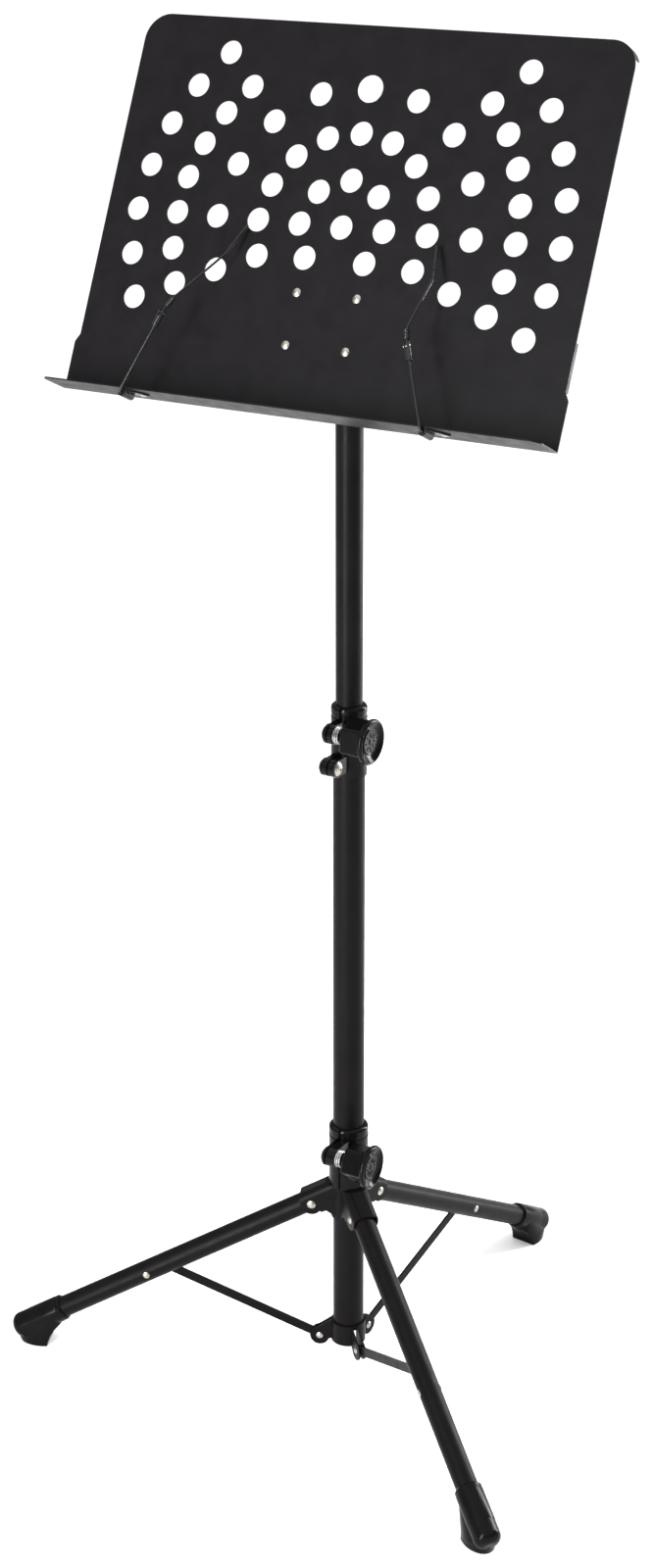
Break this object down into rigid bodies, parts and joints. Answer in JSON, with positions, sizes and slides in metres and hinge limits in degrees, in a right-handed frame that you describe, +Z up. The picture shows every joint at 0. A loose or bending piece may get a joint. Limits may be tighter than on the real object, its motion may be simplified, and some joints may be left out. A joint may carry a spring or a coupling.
{
  "type": "music stand",
  "caption": "Folding music stand: perforated tilting desk with ledge and sprung page holders on a telescopic pole with clamps and a folding tripod.",
  "frame": {"origin": "the point on the floor under the pole axis, level with the soles of the feet", "axes": "+Z up along the pole; -Y is the side the desk faces (the player); +X is the desk's width, towards the player's right when facing the desk"},
  "size_m": [0.5931, 0.562, 1.2965],
  "materials": {
    "frame_paint": "satin black powder coat",
    "desk_paint": "satin black powder coat",
    "clamp_plastic": "glossy black moulded plastic",
    "plug_plastic": "black moulded plastic",
    "foot_rubber": "slightly glossy black rubber",
    "tip_rubber": "black soft sleeve",
    "badge_print": null,
    "zinc_steel": "bright zinc plate",
    "rivet_nickel": "satin nickel plate",
    "clip_paint": "black paint",
    "wire_steel": "black finished spring wire"
  },
  "bodies": {
    "pole": {"lower_tube": "frame_paint", "pole_plug": "plug_plastic", "bottom_ring": "frame_paint", "ring_rivets": "rivet_nickel", "mid_collar": "clamp_plastic", "mid_bolt": "zinc_steel", "mid_nut": "zinc_steel", "mid_washers": "zinc_steel", "collar_screw": "rivet_nickel", "collar_nut": "zinc_steel"},
    "hub": {"hub_spider": "frame_paint", "hub_collar": "clamp_plastic", "hub_bolt": "zinc_steel", "hub_nut": "zinc_steel", "hub_washers": "zinc_steel", "hub_rivets": "rivet_nickel"},
    "hub_clamp_knob": {"hub_knob": "clamp_plastic"},
    "mid_clamp_knob": {"mid_knob": "clamp_plastic"},
    "tilt_clamp_knob": {"tilt_knob": "clamp_plastic"},
    "guide": {"guide_bush": "plug_plastic"},
    "mast": {"upper_tube": "frame_paint", "upper_plug": "plug_plastic", "tilt_head": "clamp_plastic", "tilt_bolt": "zinc_steel", "tilt_washers": "zinc_steel"},
    "desk": {"desk_bracket": "desk_paint", "desk_rivets": "rivet_nickel", "desk_panel": "desk_paint", "badge": "badge_print", "page_clip_left": "clip_paint", "page_clip_right": "clip_paint", "page_clip_rivets": "rivet_nickel"},
    "leg_1": {"leg_tube_1": "frame_paint", "leg_foot_1": "foot_rubber", "leg_pin_1": "rivet_nickel"},
    "brace_link_1": {"brace_1": "frame_paint"},
    "leg_2": {"leg_tube_2": "frame_paint", "leg_foot_2": "foot_rubber", "leg_pin_2": "rivet_nickel"},
    "brace_link_2": {"brace_2": "frame_paint"},
    "leg_3": {"leg_tube_3": "frame_paint", "leg_foot_3": "foot_rubber", "leg_pin_3": "rivet_nickel"},
    "brace_link_3": {"brace_3": "frame_paint"},
    "holder_left": {"page_rod_left": "wire_steel", "page_pin_left": "rivet_nickel"},
    "arm_left": {"page_arm_left": "wire_steel", "page_tip_left": "tip_rubber"},
    "holder_right": {"page_rod_right": "wire_steel", "page_pin_right": "rivet_nickel"},
    "arm_right": {"page_arm_right": "wire_steel", "page_tip_right": "tip_rubber"}
  },
  "joints": [
    {"name": "hub_slide", "type": "slide", "parent": "pole", "child": "hub", "axis": [0, 0, 1], "range_m": [0, 0.2193]},
    {"name": "leg_fold_1", "type": "hinge", "parent": "hub", "child": "leg_1", "pos_m": [0.0272, -0.02203, 0.1845], "axis": [0.6293, 0.7771, 0], "range_deg": [0, 54.5]},
    {"name": "brace_fold_1", "type": "hinge", "parent": "leg_1", "child": "brace_link_1", "pos_m": [0.15715, -0.12726, 0.08974], "axis": [-0.6293, -0.7771, 0], "range_deg": [0, 117.8]},
    {"name": "leg_fold_2", "type": "hinge", "parent": "hub", "child": "leg_2", "pos_m": [0.00547, 0.03457, 0.1845], "axis": [-0.9877, 0.1564, 0], "range_deg": [0, 54.5]},
    {"name": "brace_fold_2", "type": "hinge", "parent": "leg_2", "child": "brace_link_2", "pos_m": [0.03163, 0.19973, 0.08974], "axis": [0.9877, -0.1564, 0], "range_deg": [0, 117.8]},
    {"name": "leg_fold_3", "type": "hinge", "parent": "hub", "child": "leg_3", "pos_m": [-0.03268, -0.01254, 0.1845], "axis": [0.3584, -0.9336, 0], "range_deg": [0, 54.5]},
    {"name": "brace_fold_3", "type": "hinge", "parent": "leg_3", "child": "brace_link_3", "pos_m": [-0.18879, -0.07247, 0.08974], "axis": [-0.3584, 0.9336, 0], "range_deg": [0, 117.8]},
    {"name": "hub_knob_turn", "type": "hinge", "parent": "hub", "child": "hub_clamp_knob", "pos_m": [0.03, -0.039, 0.2528], "axis": [1, 0, 0], "range_deg": [0, 360]},
    {"name": "mid_knob_turn", "type": "hinge", "parent": "pole", "child": "mid_clamp_knob", "pos_m": [0.02875, -0.03323, 0.681], "axis": [0.9993, -0.0384, 0], "range_deg": [0, 360]},
    {"name": "height_slide", "type": "slide", "parent": "pole", "child": "guide", "axis": [0, 0, 1], "range_m": [-0.23, 0.18]},
    {"name": "desk_turn", "type": "hinge", "parent": "guide", "child": "mast", "pos_m": [0, 0, 0.415], "axis": [0, 0, 1], "continuous": true},
    {"name": "tilt_knob_turn", "type": "hinge", "parent": "mast", "child": "tilt_clamp_knob", "pos_m": [0.03, 0, 1.058], "axis": [1, 0, 0], "range_deg": [0, 360]},
    {"name": "desk_tilt", "type": "hinge", "parent": "mast", "child": "desk", "pos_m": [0, 0, 1.058], "axis": [-1, 0, 0], "range_deg": [-20, 60]},
    {"name": "page_swing_left", "type": "hinge", "parent": "desk", "child": "holder_left", "pos_m": [-0.1565, -0.11834, 0.99457], "axis": [0, -0.9026, 0.4305], "range_deg": [-15, 60]},
    {"name": "page_lift_left", "type": "hinge", "parent": "holder_left", "child": "arm_left", "pos_m": [-0.131, -0.09759, 1.06477], "axis": [0.9431, -0.1432, -0.3002], "range_deg": [0, 40], "stiffness_Nm_per_rad": 0.08, "springref_deg": -11.46},
    {"name": "page_swing_right", "type": "hinge", "parent": "desk", "child": "holder_right", "pos_m": [0.1375, -0.11834, 0.99457], "axis": [0, -0.9026, 0.4305], "range_deg": [-60, 20]},
    {"name": "page_lift_right", "type": "hinge", "parent": "holder_right", "child": "arm_right", "pos_m": [0.109, -0.09931, 1.06116], "axis": [0.9229, 0.1658, 0.3476], "range_deg": [0, 40], "stiffness_Nm_per_rad": 0.08, "springref_deg": -11.46}
  ],
  "couplings": [
    {"joint": "leg_fold_1", "follows": "hub_slide", "rad_per_m": 4.2977},
    {"joint": "brace_fold_1", "follows": "hub_slide", "rad_per_m": 9.2938},
    {"joint": "leg_fold_2", "follows": "hub_slide", "rad_per_m": 4.2977},
    {"joint": "brace_fold_2", "follows": "hub_slide", "rad_per_m": 9.2938},
    {"joint": "leg_fold_3", "follows": "hub_slide", "rad_per_m": 4.2977},
    {"joint": "brace_fold_3", "follows": "hub_slide", "rad_per_m": 9.2938}
  ]
}
